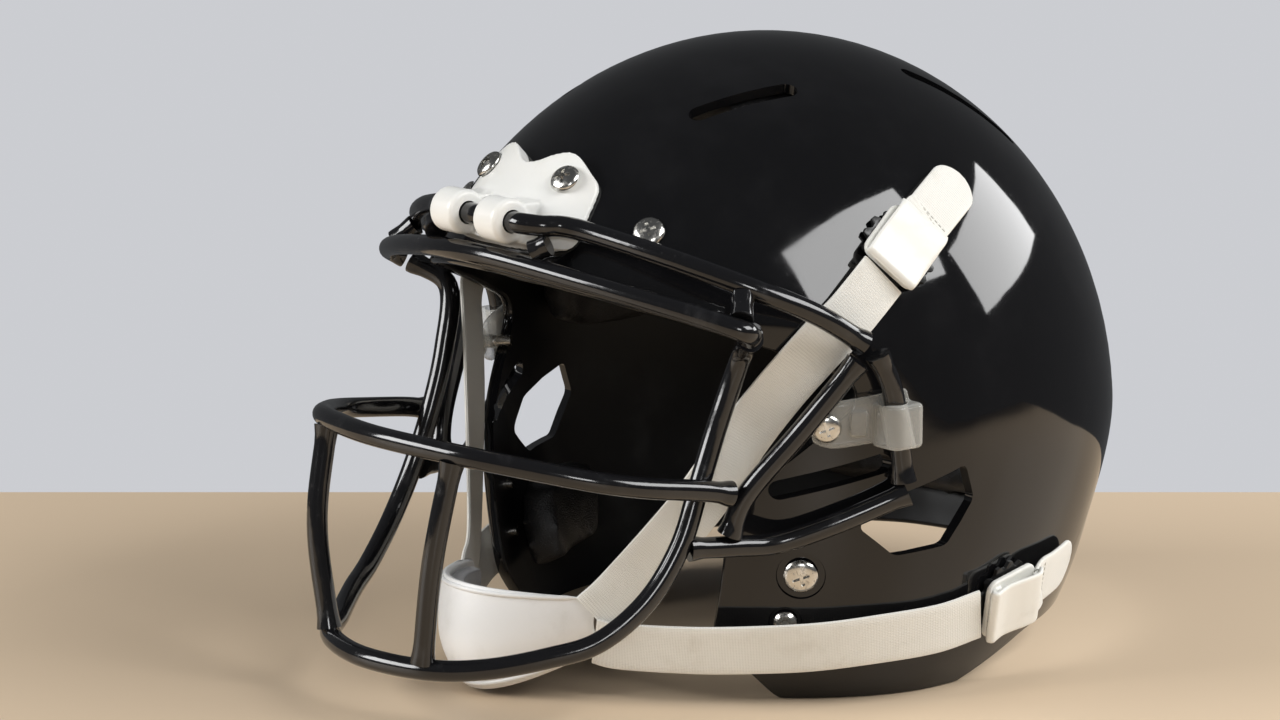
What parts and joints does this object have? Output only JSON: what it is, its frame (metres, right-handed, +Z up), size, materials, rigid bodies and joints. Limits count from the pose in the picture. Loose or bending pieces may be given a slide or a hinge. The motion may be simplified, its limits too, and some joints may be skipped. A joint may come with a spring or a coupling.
{
  "type": "american football helmet",
  "caption": "Gloss black football helmet with a padded hard shell, a swinging wire face mask, its clips and a chin strap on snaps.",
  "frame": {"origin": "on the table, under the middle of the helmet's box", "axes": "-Y is the way the wearer faces, +X is the wearer's left, +Z is up"},
  "size_m": [0.2488, 0.3248, 0.2251],
  "materials": {
    "shell_gloss": "deep gloss",
    "wire_coat": "gloss plastic dip",
    "clip_white": "satin",
    "clip_clear": "clear",
    "stud_black": "moulded",
    "screw_steel": "plated",
    "strap_web": "woven",
    "buckle_white": "moulded",
    "cup_white": "moulded",
    "pad_black": "soft cover"
  },
  "bodies": {
    "helmet": {"back_pad": "pad_black", "brow_clip": "clip_white", "brow_nut_left": "screw_steel", "brow_nut_right": "screw_steel", "brow_screw_left": "screw_steel", "brow_screw_right": "screw_steel", "crown_pad": "pad_black", "forehead_screw_left": "screw_steel", "forehead_screw_right": "screw_steel", "front_pad": "pad_black", "jaw_rivet_left": "screw_steel", "jaw_rivet_right": "screw_steel", "jaw_screw_left": "screw_steel", "jaw_screw_right": "screw_steel", "lower_strap_left": "strap_web", "lower_strap_right": "strap_web", "lower_stud_left": "stud_black", "lower_stud_right": "stud_black", "nape_pad": "pad_black", "shell": "shell_gloss", "side_clip_left": "clip_clear", "side_clip_right": "clip_clear", "side_pad_left": "pad_black", "side_pad_right": "pad_black", "side_screw_left": "screw_steel", "side_screw_right": "screw_steel", "upper_strap_left": "strap_web", "upper_strap_right": "strap_web", "upper_stud_left": "stud_black", "upper_stud_right": "stud_black"},
    "mask": {"centre_post_left": "wire_coat", "centre_post_right": "wire_coat", "cheek_wire_left": "wire_coat", "cheek_wire_right": "wire_coat", "hinge_wire_left": "wire_coat", "hinge_wire_right": "wire_coat", "inner_stub_left": "wire_coat", "inner_stub_right": "wire_coat", "jaw_wire": "wire_coat", "lower_brow_wire": "wire_coat", "lower_wire_left": "wire_coat", "lower_wire_right": "wire_coat", "mouth_wire": "wire_coat", "outer_stub_left": "wire_coat", "outer_stub_right": "wire_coat", "upper_brow_wire": "wire_coat"},
    "upper_buckle_left": {"upper_buckle_left": "buckle_white", "upper_tail_left": "strap_web"},
    "lower_buckle_left": {"lower_buckle_left": "buckle_white", "lower_tail_left": "strap_web"},
    "jaw_pad_left": {"jaw_pad_left": "pad_black"},
    "upper_buckle_right": {"upper_buckle_right": "buckle_white", "upper_tail_right": "strap_web"},
    "lower_buckle_right": {"lower_buckle_right": "buckle_white", "lower_tail_right": "strap_web"},
    "jaw_pad_right": {"jaw_pad_right": "pad_black"},
    "chin_cup": {"chin_cup": "cup_white", "chin_cup_pad": "pad_black"}
  },
  "joints": [
    {"name": "mask_swing", "type": "hinge", "parent": "helmet", "child": "mask", "pos_m": [0, -0.1068, 0.1705], "axis": [-1, 0, 0], "range_deg": [0, 80], "deforming": ["side_clip_left", "side_clip_right"]},
    {"name": "upper_snap_left", "type": "slide", "parent": "helmet", "child": "upper_buckle_left", "axis": [0.8743, -0.1206, 0.4702], "range_m": [0, 0.009], "deforming": ["upper_strap_left"]},
    {"name": "lower_snap_left", "type": "slide", "parent": "helmet", "child": "lower_buckle_left", "axis": [0.9506, 0.1374, -0.2782], "range_m": [0, 0.009], "deforming": ["lower_strap_left"]},
    {"name": "jaw_pad_pull_left", "type": "slide", "parent": "helmet", "child": "jaw_pad_left", "axis": [-0.8245, 0.5121, 0.2408], "range_m": [0, 0.008]},
    {"name": "upper_snap_right", "type": "slide", "parent": "helmet", "child": "upper_buckle_right", "axis": [-0.8743, -0.1206, 0.4702], "range_m": [0, 0.009], "deforming": ["upper_strap_right"]},
    {"name": "lower_snap_right", "type": "slide", "parent": "helmet", "child": "lower_buckle_right", "axis": [-0.9506, 0.1374, -0.2782], "range_m": [0, 0.009], "deforming": ["lower_strap_right"]},
    {"name": "jaw_pad_pull_right", "type": "slide", "parent": "helmet", "child": "jaw_pad_right", "axis": [0.8245, 0.5121, 0.2408], "range_m": [0, 0.008]},
    {"name": "chin_cup_reach", "type": "slide", "parent": "helmet", "child": "chin_cup", "axis": [0, -1, 0], "range_m": [0, 0.012], "deforming": ["upper_strap_left", "lower_strap_left", "upper_strap_right", "lower_strap_right"]}
  ]
}
